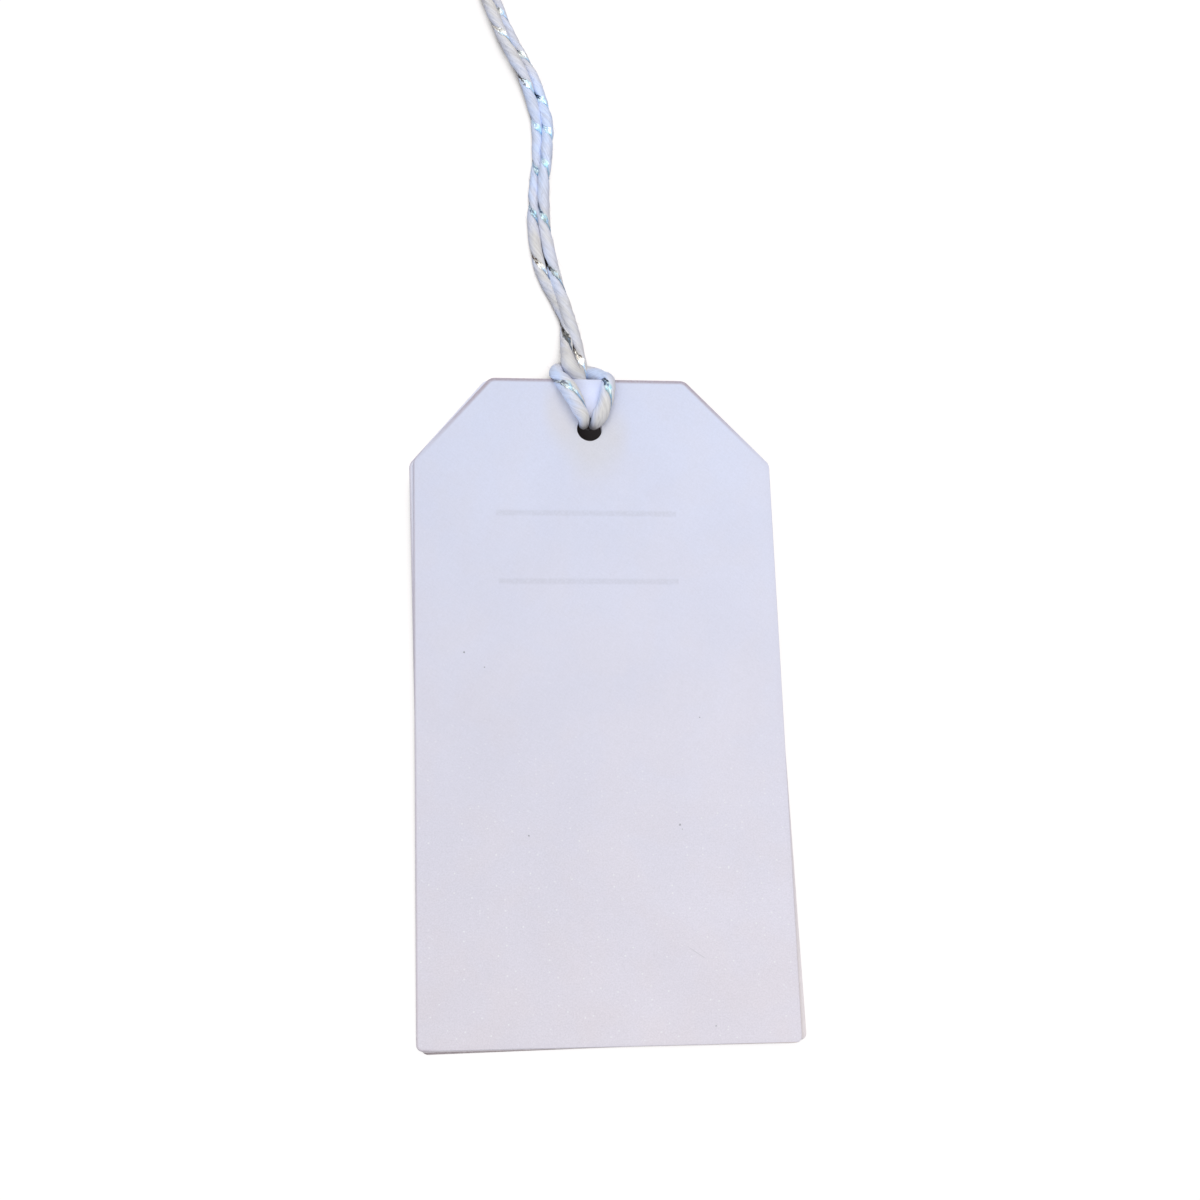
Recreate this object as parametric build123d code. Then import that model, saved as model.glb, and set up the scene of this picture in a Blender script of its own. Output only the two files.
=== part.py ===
from build123d import *
import os
from math import atan2, degrees, pi, radians, sqrt, tan

# Gift tag lying face up: two card sheets glued back to back with a cord hitched through a punched hole.
# Frame: X across the tag, Y from its foot towards the cord, Z up from the surface that it lies on.
# All lengths are millimetres and all angles degrees.

# Card sheets
tag_width = 50.0
tag_length = 92.0
shoulder_width = 11.2
shoulder_height = 12.4
foot_radius = 0.8
shoulder_radius = 1.5
card_thickness = 0.4
adhesive_thickness = 0.1
adhesive_inset = 1.5
backing_skew = 0.9

# Punched hole
hole_diameter = 3.5
hole_from_top = 7.5

# Cord, and the gaps that keep its solids apart
cord_diameter = 1.8
squeeze = 0.15
snug_gap = 0.06
lay_gap = 0.05
cross_gap = 0.1
strand_gap = 0.2
hinge_gap = 0.15
punch_overrun = 0.4
arc_share = 0.45

# Hitch, drawn up over the top edge of the tag
left_leg_spread = 4.2
right_leg_spread = 2.8
left_edge_room = 1.1
right_edge_room = 0.9
edge_lift = 0.2
leg_bow_across = 0.42
leg_bow_up = 0.58
edge_shift_share = 0.25
hinge_reach = 4.2
hinge_shift = -1.4
hinge_drop = 0.3

# Middle line of the two free strands: across and along from the hinge, and height above lying flat
pair_route = [
    (-0.45, 4.0, 0.35),
    (-1.35, 8.4, 0.0),
    (-3.05, 13.0, 0.0),
    (-4.15, 18.4, 0.0),
    (-4.55, 24.4, 0.0),
    (-4.0, 30.2, 0.0),
    (-3.25, 36.2, 0.0),
    (-3.75, 42.0, 0.0),
    (-5.6, 47.6, 0.0),
    (-8.3, 53.2, 0.0),
    (-10.4, 59.4, 0.15),
    (-11.8, 64.0, 0.75),
]

# Overhand knot at the far end and the two cut tails beyond it
knot_length = 6.6
knot_diameter = 5.0
knot_bite = 1.4
tail_route = [(1.9, 0.9, 0.75), (4.6, 1.7, 0.25), (7.4, 3.1, 0.0), (10.0, 3.8, 0.0)]

# Worked out from the sizes above
stack = 2 * card_thickness + adhesive_thickness
hitch_diameter = hole_diameter / 2 - squeeze
hitch_radius = hitch_diameter / 2
cord_radius = cord_diameter / 2
hole_v = tag_length - hole_from_top
strand_offset = hitch_radius + snug_gap / 2
hole_room = hole_diameter / 2 - snug_gap - hitch_radius
strand_rise = sqrt(hole_room**2 - strand_offset**2)
front_w = stack + lay_gap + hitch_radius
back_w = -lay_gap - hitch_radius
cross_w = back_w - hitch_diameter - cross_gap
left_bight = hole_from_top + hitch_radius + left_edge_room
right_bight = hole_from_top + hitch_radius + right_edge_room
lean = degrees(atan2(hitch_radius - cross_w, hole_v + right_bight))
pitch = cord_diameter + strand_gap


def outline():
    """One sheet's face, foot at v = 0, with its top corners cut off."""
    half = tag_width / 2
    shoulder_v = tag_length - shoulder_height
    top_half = half - shoulder_width
    border = Polyline(
        (-half, 0),
        (half, 0),
        (half, shoulder_v),
        (top_half, tag_length),
        (-top_half, tag_length),
        (-half, shoulder_v),
        close=True,
    )
    face = make_face(border)
    face = fillet(face.vertices().filter_by(lambda corner: corner.Y < shoulder_v / 2), foot_radius)
    return fillet(face.vertices().filter_by(lambda corner: corner.Y > shoulder_v / 2), shoulder_radius)


def sheet(face, bottom, thickness):
    """A flat sheet of the stack, punched through."""
    solid = extrude(Pos(0, 0, bottom) * face, amount=thickness)
    punch = Cylinder(hole_diameter / 2, thickness + 2 * punch_overrun)
    return solid - Pos(0, hole_v, bottom + thickness / 2) * punch


def askew(face):
    """The backing sheet's face, turned about the tag's middle."""
    return Pos(0, tag_length / 2, 0) * Rot(0, 0, backing_skew) * Pos(0, -tag_length / 2, 0) * face


def cord_path(points, name):
    """Straight runs joined by arcs as large as the runs allow."""
    corners = [Vector(*point) for point in points]
    radii = []
    for before, here, after in zip(corners, corners[1:], corners[2:]):
        turn = radians((here - before).get_angle(after - here))
        shorter = min((here - before).length, (after - here).length)
        radii.append(arc_share * shorter / tan(turn / 2))
    print(name, "radii", [round(radius, 1) for radius in radii])
    return FilletPolyline(*corners, radius=radii)


def tube(points, diameter, name):
    """A round cord along its route, with its volume held against section times length."""
    path = cord_path(points, name)
    section = Plane(origin=path @ 0, z_dir=path % 0) * Circle(diameter / 2)
    solid = sweep(section, path=path)
    plain = pi * diameter**2 / 4 * path.length
    print(name, "length", round(path.length, 1), "volume share", round(solid.volume / plain, 4))
    return solid


# The three sheets, leaning on the hitch at the top and standing on the foot of the backing sheet
flat_sheets = {
    "backing_card": sheet(askew(outline()), 0, card_thickness),
    "adhesive_film": sheet(offset(outline(), -adhesive_inset), card_thickness, adhesive_thickness),
    "front_card": sheet(outline(), card_thickness + adhesive_thickness, card_thickness),
}
leaning = Compound(children=[Rot(lean, 0, 0) * solid for solid in flat_sheets.values()]).bounding_box()
tag_place = Pos(0, -leaning.center().Y, -leaning.min.Z) * Rot(lean, 0, 0)
parts = {name: tag_place * solid for name, solid in flat_sheets.items()}


def tag_point(across, above_hole, out):
    """A point measured on the leaning tag: across, above the hole's centre and out of the backing sheet."""
    return (tag_place * Pos(across, hole_v + above_hole, out)).position


# Hinge line where the free strands swing against the hitch
hinge = tag_point(hinge_shift, hole_from_top + hinge_reach, back_w - hinge_drop)
print("hinge", [round(value, 3) for value in hinge])


def strand_route(side):
    """Points of one free strand: side -1 is the left one, 1 the right one."""
    middle = [hinge] + [
        Vector(hinge.X + across, hinge.Y + along, cord_radius + rise) for across, along, rise in pair_route
    ]
    ahead = middle[1:] + [middle[-1]]
    behind = [middle[0]] + middle[:-1]
    route = []
    for here, after, before in zip(middle, ahead, behind):
        heading = after - before
        square = Vector(heading.Y, -heading.X, 0).normalized()
        route.append(here + square * (side * pitch / 2))
    route[0] = Vector(hinge.X + side * pitch / 2, hinge.Y, hinge.Z)
    return route


def hitch_half(side, spread, bight):
    """Points of one half of the hitch, from its stub at the hinge to the run under the strands."""
    swing = strand_route(side)[0]
    edge = tag_point(side * strand_offset + hinge_shift * edge_shift_share, hole_from_top, back_w)
    setback = (swing - edge).normalized() * (cord_radius + hinge_gap)
    return [
        swing - setback,
        edge,
        tag_point(side * strand_offset, hole_from_top / 2, back_w),
        tag_point(side * strand_offset, strand_rise, back_w),
        tag_point(side * strand_offset, strand_rise, front_w),
        tag_point(side * (strand_offset + spread) * leg_bow_across, hole_from_top * leg_bow_up, front_w),
        tag_point(side * spread, bight, front_w + edge_lift),
        tag_point(side * (spread - edge_lift), bight, cross_w),
    ]


left_half = hitch_half(-1, left_leg_spread, left_bight)
right_half = hitch_half(1, right_leg_spread, right_bight)
parts["cord_hitch"] = tube(left_half + right_half[::-1], hitch_diameter, "cord_hitch")

for name, side in (("cord_strand_left", -1), ("cord_strand_right", 1)):
    route = strand_route(side)
    parts[name] = tube(route, cord_diameter, name) + Pos(*route[0]) * Sphere(cord_radius)

# Knot lying on the surface at the strands' ends, with its long axis in line with them
heading = Vector(pair_route[-1][0] - pair_route[-2][0], pair_route[-1][1] - pair_route[-2][1], 0).normalized()
square = Vector(heading.Y, -heading.X, 0)
strand_end = hinge + Vector(pair_route[-1][0], pair_route[-1][1], 0)
knot_mid = strand_end + heading * (knot_length / 2 - knot_bite)
knot_middle = Vector(knot_mid.X, knot_mid.Y, knot_diameter / 2)
half_oval = split(Ellipse(knot_length / 2, knot_diameter / 2), bisect_by=Plane.XZ, keep=Keep.TOP)
knot = revolve(half_oval, axis=Axis.X)
parts["end_knot"] = Plane(origin=knot_middle, x_dir=heading, z_dir=(0, 0, 1)) * knot

for name, side in (("cord_tail_left", -1), ("cord_tail_right", 1)):
    route = []
    for along, aside, rise in tail_route:
        place = knot_middle + heading * along + square * (side * aside)
        route.append(Vector(place.X, place.Y, cord_radius + rise))
    parts[name] = tube(route, cord_diameter, name)

os.makedirs("parts", exist_ok=True)
for name, solid in parts.items():
    export_step(solid, f"parts/{name}.step")
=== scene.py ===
import math

import bmesh
import bpy
import numpy as np
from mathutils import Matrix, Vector


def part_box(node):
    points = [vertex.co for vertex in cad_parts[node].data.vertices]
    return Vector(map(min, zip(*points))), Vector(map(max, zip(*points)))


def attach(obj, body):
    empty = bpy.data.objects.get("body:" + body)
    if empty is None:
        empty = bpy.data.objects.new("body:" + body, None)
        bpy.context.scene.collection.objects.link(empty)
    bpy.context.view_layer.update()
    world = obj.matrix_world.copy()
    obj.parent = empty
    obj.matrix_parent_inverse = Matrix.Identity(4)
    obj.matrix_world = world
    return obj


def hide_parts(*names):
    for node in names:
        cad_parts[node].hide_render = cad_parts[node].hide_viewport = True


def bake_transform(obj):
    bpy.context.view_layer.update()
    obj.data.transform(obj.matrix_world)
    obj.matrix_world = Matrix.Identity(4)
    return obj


# A card gift tag lying face up, with a tinselled white cord hitched through its punched hole.
# Lengths below are millimetres unless a name says otherwise, and become metres where a mesh is made.
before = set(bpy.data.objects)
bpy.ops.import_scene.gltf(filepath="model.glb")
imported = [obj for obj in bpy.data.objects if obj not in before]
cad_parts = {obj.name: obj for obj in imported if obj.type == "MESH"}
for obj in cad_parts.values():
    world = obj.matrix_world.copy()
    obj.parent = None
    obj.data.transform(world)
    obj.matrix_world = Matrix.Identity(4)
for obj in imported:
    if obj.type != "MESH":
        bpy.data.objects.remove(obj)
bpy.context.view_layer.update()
MM = 0.001

# Camera of the photograph, fitted to the tag's six corners and its hole
CAMERA_PLACE = (-36.66, -71.24, 259.88)
CAMERA_TURN_DEG = (18.43, -7.492, -2.322)
CAMERA_LENS = 60.0
CAMERA_SENSOR = 36.0
CAMERA_NEAR_M = 0.01

# The cord's route: across, along and up in the part's frame, and the yarn's radius there
LEFT_STRAND = [
    (-13.4, 112.2, 1.95, 0.85),
    (-12.5, 109.3, 2.0, 0.88),
    (-11.1, 104.8, 2.0, 0.88),
    (-9.4, 100.7, 2.0, 0.88),
    (-7.4, 96.4, 1.9, 0.88),
    (-6.2, 92.5, 1.4, 0.88),
    (-5.5, 88.6, 0.92, 0.88),
    (-5.5, 84.6, 0.9, 0.88),
    (-5.9, 80.4, 0.9, 0.88),
    (-6.4, 76.2, 0.9, 0.88),
    (-6.65, 72.0, 0.92, 0.9),
    (-6.35, 67.4, 0.92, 0.9),
    (-5.5, 63.6, 0.9, 0.88),
    (-3.55, 59.8, 0.9, 0.88),
    (-2.45, 56.7, 1.0, 0.86),
    (-2.5, 53.2, 1.7, 0.9),
    (-2.62, 50.6, 2.85, 0.92),
]
RIGHT_STRAND = [
    (-12.2, 113.0, 1.1, 0.85),
    (-11.35, 110.3, 0.9, 0.88),
    (-10.0, 106.1, 0.9, 0.88),
    (-8.5, 102.2, 0.9, 0.88),
    (-6.1, 97.6, 0.9, 0.88),
    (-4.85, 93.1, 1.1, 0.88),
    (-3.95, 88.6, 1.5, 0.88),
    (-4.3, 84.0, 1.9, 0.88),
    (-4.9, 79.6, 2.1, 0.88),
    (-5.15, 75.6, 1.8, 0.88),
    (-5.05, 71.9, 1.3, 0.9),
    (-4.45, 67.9, 0.92, 0.9),
    (-3.9, 64.2, 1.1, 0.88),
    (-2.8, 59.7, 2.0, 0.88),
    (-2.05, 56.3, 2.2, 0.88),
    (-1.15, 53.4, 1.75, 0.86),
    (-0.85, 51.0, 1.8, 0.86),
]
HITCH = [
    (-2.7, 48.2, 4.3, 1.12),
    (-0.68, 46.3, 2.5, 1.06),
    (-0.8, 42.8, 2.25, 0.8),
    (-0.74, 39.7, 2.2, 0.66),
    (-0.72, 39.2, 4.7, 0.7),
    (-0.8, 39.9, 5.05, 1.0),
    (-1.54, 41.35, 5.1, 1.14),
    (-2.44, 43.4, 5.16, 1.24),
    (-3.46, 45.05, 5.12, 1.2),
    (-4.52, 46.45, 4.35, 1.02),
    (-4.25, 47.9, 2.9, 0.98),
    (-3.1, 48.8, 1.45, 0.92),
    (-1.8, 49.05, 0.82, 0.8),
    (-0.3, 48.95, 0.78, 0.76),
    (0.85, 48.25, 1.25, 1.1),
    (1.9, 47.4, 2.1, 1.08),
    (2.8, 46.35, 3.65, 0.95),
    (2.85, 45.35, 4.95, 1.0),
    (2.6, 43.7, 5.1, 1.07),
    (2.12, 41.45, 5.1, 1.15),
    (1.28, 39.9, 5.08, 1.16),
    (0.82, 39.1, 4.7, 0.78),
    (0.74, 39.7, 2.2, 0.66),
    (0.35, 42.8, 1.8, 0.76),
    (-0.4, 46.2, 1.3, 0.72),
    (-0.4, 48.6, 2.0, 0.8),
]
# Knot, measured along its heading, to its right and up from its middle
KNOT_HEADING_DEG = 16.9
KNOT_ENTRY = [
    (-4.0, 0.8, -0.9, 0.8),
    (-2.5, 0.55, -0.45, 0.62),
    (-0.4, 0.52, -0.5, 0.52),
    (1.7, 0.5, -0.4, 0.52),
    (2.7, 0.5, 0.7, 0.56),
]
KNOT_WRAP_POINTS = 12
KNOT_WRAP_RADIUS = 1.72
KNOT_WRAP_PITCH = 2.5
KNOT_WRAP_GAP = 1.2
KNOT_YARN_RADIUS = 0.6
KNOT_EXIT = [
    (-2.7, 0.5, 0.7, 0.56),
    (-1.5, 0.52, 0.5, 0.52),
    (0.6, 0.52, 0.5, 0.52),
    (2.6, 0.6, 0.3, 0.66),
]
TAIL = [(4.6, 1.7, -1.35, 0.84), (7.4, 3.1, -1.6, 0.9), (10.0, 3.8, -1.58, 0.96)]
# The smooth spline along the route, and its points to a span
SPLINE_DEGREE = 2
SPLINE_RESOLUTION = 32
# Yarn: its rings, the twist and relief of its bundles of fibre, its bulges and the tinsel's groove
CORD_DIAMETER = 1.8
RING_STEP = 0.12
RING_SIDES = 56
FIBRE_PITCH = 9.5
BUNDLES = 7
BUNDLE_RELIEF = 0.045
BUNDLE_ROUNDNESS = 0.8
BUNDLE_LEVEL = 0.68
UNEVEN_MEAN = 0.6
UNEVEN_SWING = 0.4
UNEVEN_RATE = 1.3
UNEVEN_WANDER = 2.0
BULGE = 0.035
BULGE_RATE = 1.9
BULGE_WANDER = 1.4
BULGE_WANDER_RATE = 0.43
BULGE_TURN = 0.7
GROOVE_DEPTH = 0.26
GROOVE_WIDTH = 0.5
# Tinsel strip. Its patch: the way it faces where it is widest, its least width and the patch's reach
TINSEL_PITCH = 7.3
TINSEL_SMOOTHING = 7
TINSEL_WIDTH = 1.2
TINSEL_POINTS = 5
TINSEL_STEP = 0.3
TINSEL_THICKNESS = 0.025
TINSEL_LIFT = 0.05
TINSEL_CRINKLE = 0.03
TINSEL_RAGGED = (0.6, 1.15)
TINSEL_PATCH = (-0.1, 0.35, 0.45)
# Where the tinsel crosses the top of the cord, in order along it: the place, the turns since the last
# one, how cream rather than cyan it shines there, how bright its painted glint is, and how dark its
# painted reflection gets to the left
TINSEL_TOPS = [
    ((-10.5, 103.4, 2.0), 0, 0.8, 0.9, 0.4),
    ((-6.8, 94.6, 1.8), 1, 0.4, 0.9, 1.0),
    ((-5.5, 87.9, 0.9), 1, 0.0, 1.0, 0.1),
    ((-5.95, 80.6, 0.9), 1, 0.0, 0.65, 0.3),
    ((-6.6, 73.5, 0.9), 1, 0.1, 0.5, 0.4),
    ((-6.0, 65.1, 0.9), 1, 1.0, 0.8, 0.8),
    ((-2.5, 53.0, 1.8), 1, 0.8, 0.12, 1.0),
    ((-0.75, 42.0, 2.25), 1, 0.4, 0.5, 1.0),
    ((-3.0, 44.2, 5.1), 0.5, 0.45, 0.55, 0.5),
    ((2.7, 43.9, 5.0), 2, 0.0, 0.6, 0.7),
    ((-0.85, 49.4, 2.0), 2, 1.0, 1.0, 0.8),
    ((-3.8, 63.6, 1.1), 1, 0.5, 0.35, 0.9),
    ((-5.1, 72.6, 1.5), 1, 0.1, 0.5, 0.6),
    ((-4.65, 81.2, 2.0), 1, 0.0, 0.7, 0.2),
    ((-4.05, 86.95, 1.5), 1, 0.0, 1.0, 0.1),
    ((-4.6, 92.3, 1.1), 1, 0.0, 1.0, 1.0),
    ((-7.4, 100.2, 0.9), 1, 0.7, 0.75, 0.5),
    ((-10.4, 107.6, 0.9), 1, 0.8, 0.8, 0.2),
]
# Places where painted blue light on the yarn is strongest, how far along it the tint reaches and how
# strong it is
BLUE_PLACES = [
    ((-5.6, 86.5, 0.9), 11.0, 1.0),
    ((-4.4, 46.9, 4.4), 1.9, 0.9),
    ((2.5, 47.2, 3.4), 2.6, 0.9),
    ((-4.2, 66.0, 1.0), 4.5, 0.6),
    ((-4.1, 88.0, 1.5), 11.0, 1.0),
    ((-9.4, 104.3, 0.9), 4.0, 0.65),
]
# Painted blue light on the yarn's left flank, where the bluish fill falls: on the free cord, on the
# hitch, how far the change reaches, and how fast it falls off round the yarn
FLANK_BLUE = 0.4
HITCH_FLANK_BLUE = 1.0
FLANK_FADE = 3.5
FLANK_FALL = 1.3
# Painted shade where the cord goes through the hole: its middle, reach, strength and colour
HOLE_SHADE_MIDDLE = (0.1, 38.4, 3.9)
HOLE_SHADE_REACH = 1.5
HOLE_SHADE_STRENGTH = 0.85
HOLE_SHADE_TONE = (0.1, 0.08, 0.08)
# Stray fibres: how many to a millimetre of yarn, their reach, half their thickness and its taper, and
# how far they lift off, sway, curl and droop
FUZZ_PER_MM = 3.0
FUZZ_REACH = (0.5, 1.5)
FUZZ_RADIUS = 0.02
FUZZ_TAPER = 0.7
FUZZ_POINTS = 5
FUZZ_SIDES = 3
FUZZ_LIFT = (0.1, 0.5)
FUZZ_SWAY = 0.5
FUZZ_CURL = 0.4
FUZZ_DROOP = 0.12
# A way that no fibre takes, to find the sides of each one
ODD_WAY = (0.31, 0.52, 0.8)
# Frayed fibres on the dome of a cut end: how many, their reach, share of its radius, spread and curl
FRAYED_ENDS = 150
FRAY_REACH = (0.5, 1.7)
FRAY_INSIDE = 0.9
FRAY_SPREAD = (0.0, 0.45)
FRAY_CURL = (0.1, 0.25)
END_DOME = 0.5

# Card, in the part's frame: its rolled edges and the band along them
HALF_WIDTH = 25.0
HALF_LENGTH = 46.0
EDGE_ROLL = 0.09
ROLL_SEGMENTS = 3
SHARP_EDGE_RAD = 1.0
FLAT_FACING = 0.99
MERGE_M = 1e-6
RIM_BAND = 0.65
# Painted shade along the rims, and wear on the backing sheet: its place in that band, how patchy it is,
# the foot's edge, the thin painted shadow line up the left side, the top's painted shade, the part of
# the top under the cord that stays bare, and the backing sheet's wear
RIM_SHADE_AND_WEAR_BAND = (0.1, 0.8)
EDGE_PATCHES = (0.7, 1.0)
FOOT_EDGE = (-46.06, -45.97)
LINE_BAND = (0.7, 0.97)
LEFT_SIDE = (-24.0, -22.0)
LEFT_SHADE_LINE = 0.4
TOP_EDGE_SHADE = (31.0, 45.6, 0.0, 0.85)
COVERED_EDGE = (2.6, 3.4)
BACKING_WEAR = 0.02
# The photographed tag is a little out of square: its shoulders and its foot run off to the right
SIDE_FROM = 10.0
SHOULDER_LEVEL = 33.6
SHOULDER_SHIFT = 0.36
FOOT_DROP = 0.17
# Ruled lines as left, right and level, and the patches in their ink
RULES = [(-13.4, 11.7, 26.12), (-13.2, 11.6, 16.3)]
RULE_THICKNESS = 0.76
RULE_SOFTNESS = 0.2
RULE_END_SOFTNESS = 0.15
RULE_STRENGTH = 0.15
RULE_TONE = (0.3, 0.3, 0.33)
INK_NOISE = (2.8, 2.0)
INK_PATCHES = (0.3, 0.62, 0.45, 1.0)
# Specks as place and size
SPECKS = [
    (10.2, -17.4, 0.2),
    (10.5, -18.0, 0.14),
    (-18.1, 6.3, 0.2),
    (-15.4, 4.2, 0.16),
    (13.6, -2.8, 0.15),
    (-10.0, -18.6, 0.18),
    (13.7, -43.7, 0.16),
]
SPECK_NOISE = (9.0, 2.0)
SPECK_RAGGED = 0.2
SPECK_FADE = (0.6, 1.5)
SPECK_STRENGTH = 0.75
SPECK_TONE = (0.1, 0.1, 0.11)
SCRATCH_MIDDLE = (11.75, -34.35)
SCRATCH_TURN_DEG = -34.4
SCRATCH_HALF = (1.15, 0.05)
SCRATCH_FADE = (0.6, 1.6)
SCRATCH_STRENGTH = 0.3
SCRATCH_TONE = (0.4, 0.4, 0.44)
# Towards the foot the grain is coarser, with pale grains painted as glints of light: cell size, share
# of cells, core and strength
GRAIN_FROM_FOOT = (0.2, 0.62)
FOOT_NOISE = (4.6, 2.0, 0.7)
FOOT_GRAIN = 0.065
PALE_CELL = 1.1
PALE_SHARE = 0.3
PALE_CORE = (0.05, 0.16)
PALE_STRENGTH = 0.62
PALE_TONE = (0.95, 0.95, 0.97)
# Painted warm cast of light round the hole, and painted pale light on the paper between the cord's
# legs: place, half sizes and tint
WARM_CAST_AND_PALE_LIGHT = [
    ((0.4, 36.6), (5.4, 7.0), (1.0, 0.965, 0.875)),
    ((-4.0, 41.6), (3.0, 7.0), (1.015, 0.97, 0.88)),
    ((4.0, 38.6), (2.2, 4.6), (1.005, 0.985, 0.945)),
    ((0.2, 42.9), (2.2, 3.9), (1.2, 1.21, 1.22)),
]
WARM_CAST_AND_PALE_LIGHT_FADE = (0.2, 1.1)

# Noises: patches to a millimetre or a fibre's size, finer layers, and how strong those are
NOISE_MIDDLE = (0.3, 0.7)
SHADE_FROM = (0.25, 0.75)
GRAIN_NOISE = (3.6, 4.0, 0.62)
GRAIN_SHADE = 0.028
BACKING_GRAIN_SHADE = 0.03
# Fibres in the card: the size of one and its turn in degrees
FIBRE_LAYS = [((0.22, 1.2, 1.0), 52), ((0.22, 1.0, 1.0), -25)]
FIBRE_NOISE = (1.0, 3.0, 0.6)
FIBRE_SHADE = 0.03
FIBRE_RELIEF = 1.4
CLOUD_NOISE = (0.09, 2.0)
BACKING_CLOUD_NOISE = (0.07, 2.0)
CLOUD_SHADE = 0.02
# Painted light: the card lighter to the right and darker to the left
SIDE_SHADE = 0.034
WARM_NOISE = (0.16, 2.0)
WARM_PATCHES = (0.4, 0.65, 0.0, 0.5)
WARM_TINT = (1.01, 0.99, 0.965)
FLECK_LAY = ((0.3, 1.0, 1.0), 48)
FLECK_NOISE = (1.0, 2.0, 0.6)
FLECK_EDGE = (0.67, 0.77)
FLECK_SHARE = (0.2, 0.9, 0.4, 0.1)
FLECK_TONE = (0.86, 0.86, 0.93)
# Finishes: roughness as a range, relief as depth and strength
PAPER_ROUGHNESS = (0.62, 0.82)
PAPER_RELIEF = (0.03, 0.35)
PAPER_SPECULAR = 0.3
FILM_NOISE = (0.8, 3.0)
FILM_ROUGHNESS = (0.35, 0.6)
FINE_STREAK = (0.2, 0.2, 2.6)
FINE_SHADE = 0.15
COARSE_STREAK = (0.42, 0.42, 4.5)
COARSE_NOISE = (1.0, 2.0, 0.5)
COARSE_SHADE = 0.09
DRIFT_SIZE = (1.6, 1.6, 5.0)
DRIFT_NOISE = (1.0, 1.0)
DRIFT_BLUE = 0.34
TINT_BLUE = 0.72
YARN_ROUGHNESS = (0.5, 0.7)
YARN_RELIEF = (0.06, 0.7)
YARN_SHEEN = 0.15
YARN_SHEEN_ROUGHNESS = 0.4
YARN_SPECULAR = 0.35
TINSEL_FACET = (0.5, 0.3, 0.6)
TINSEL_SIDES = (0.05, 0.95)
TINSEL_CHANCE = 0.24
TINSEL_UNEVEN = (0.3, 0.9, 0.0, 0.5)
TINSEL_ROUGHNESS = (0.16, 0.34)
TINSEL_METAL = (0.2, 0.4, 1.0, 0.4)

# Colours, as linear light, with their place on a ramp from 0 to 1
# The sheets' tones hold painted light as well as the paper's colour: bluer towards the top, warmer
# towards the foot, and the backing paler at its foot where the front sheet shades it
FRONT_TONES = [(0.0, (0.767, 0.725, 0.795)), (0.5, (0.724, 0.716, 0.826)), (1.0, (0.685, 0.724, 0.895))]
BACKING_TONES = [(0.0, (0.86, 0.8, 0.81)), (0.45, (0.81, 0.78, 0.84)), (1.0, (0.77, 0.79, 0.92))]
# Painted shade at the front sheet's rims, and wear at the backing's rim
RIM_TONE = (0.36, 0.27, 0.3)
# Painted shade and light on the foot's cut edge: dark at the left, lit tan at the right
FOOT_TONES = [(0.0, (0.32, 0.26, 0.27)), (0.35, (0.42, 0.33, 0.33)), (1.0, (0.76, 0.63, 0.6))]
ADHESIVE_TONES = [(0.3, (0.4, 0.34, 0.28)), (0.7, (0.52, 0.46, 0.4))]
# The yarn's ramp runs from warm grey to blue; its blue end is painted blue light
YARN_TONES = [(0.1, (0.71, 0.695, 0.69)), (0.45, (0.69, 0.71, 0.82)), (0.9, (0.65, 0.755, 1.0))]
# The tinsel's colours: its own iridescent hues, with painted reflections in how dark or bright they run
# by the way it faces
TINSEL_PALEST = 0.36
TINSEL_TONES = [
    (0.0, (0.012, 0.015, 0.02)),
    (0.1, (0.05, 0.07, 0.1)),
    (0.18, (0.2, 0.3, 0.48)),
    (0.34, (0.55, 0.75, 0.95)),
    (0.44, (0.8, 0.95, 1.0)),
    (0.56, (0.64, 0.92, 1.0)),
    (0.7, (0.45, 0.8, 1.0)),
    (0.85, (0.38, 0.62, 1.0)),
    (1.0, (0.55, 0.74, 1.0)),
]
CREAM_TONES = [
    (0.0, (0.03, 0.02, 0.018)),
    (0.12, (0.16, 0.11, 0.09)),
    (0.22, (0.6, 0.54, 0.46)),
    (0.32, (1.0, 0.97, 0.88)),
    (0.5, (1.0, 1.0, 0.97)),
    (0.64, (0.72, 0.85, 1.0)),
    (0.8, (0.46, 0.68, 1.0)),
    (1.0, (0.5, 0.7, 1.0)),
]

# Studio: each lamp's name, place, size, watts and colour
FLOOR_HALF = 1500.0
# Floor: dark itself, shown white by a glow that fades where the tag covers it, which paints shade under
# and beside the tag
FLOOR_COLOUR = (0.18, 0.15, 0.15)
FLOOR_ROUGHNESS = 0.9
FLOOR_GLOW = 0.9
FLOOR_COVER_REACH = 18.0
FLOOR_OPEN = (0.25, 0.58)
LAMP_TARGET = (0.0, 20.0, 0.0)
LAMPS = [
    ("key", (90.0, 330.0, 540.0), 460.0, 1.62, (1.0, 0.96, 0.9)),
    ("fill", (-340.0, -300.0, 480.0), 500.0, 1.4, (0.84, 0.92, 1.0)),
]
SKY_COLOUR = (0.97, 0.98, 1.0)
SKY_STRENGTH = 0.52


def metres(*place):
    """A place in millimetres as a vector in metres."""
    return Vector(place) * MM


def unit(rows):
    """Rows of vectors at length one."""
    return rows / np.linalg.norm(rows, axis=-1, keepdims=True)


def read_spline(points):
    """The points of the smooth spline that has these control points."""
    data = bpy.data.curves.new("route", "CURVE")
    data.dimensions = "3D"
    spline = data.splines.new("NURBS")
    spline.points.add(len(points) - 1)
    for control, place in zip(spline.points, points):
        control.co = (*place, 1.0)
    spline.order_u = SPLINE_DEGREE + 1
    spline.use_endpoint_u = True
    spline.resolution_u = SPLINE_RESOLUTION
    holder = bpy.data.objects.new("route", data)
    mesh = bpy.data.meshes.new_from_object(holder)
    line = np.array([vertex.co for vertex in mesh.vertices], float)
    bpy.data.meshes.remove(mesh)
    bpy.data.objects.remove(holder)
    bpy.data.curves.remove(data)
    return line


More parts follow.
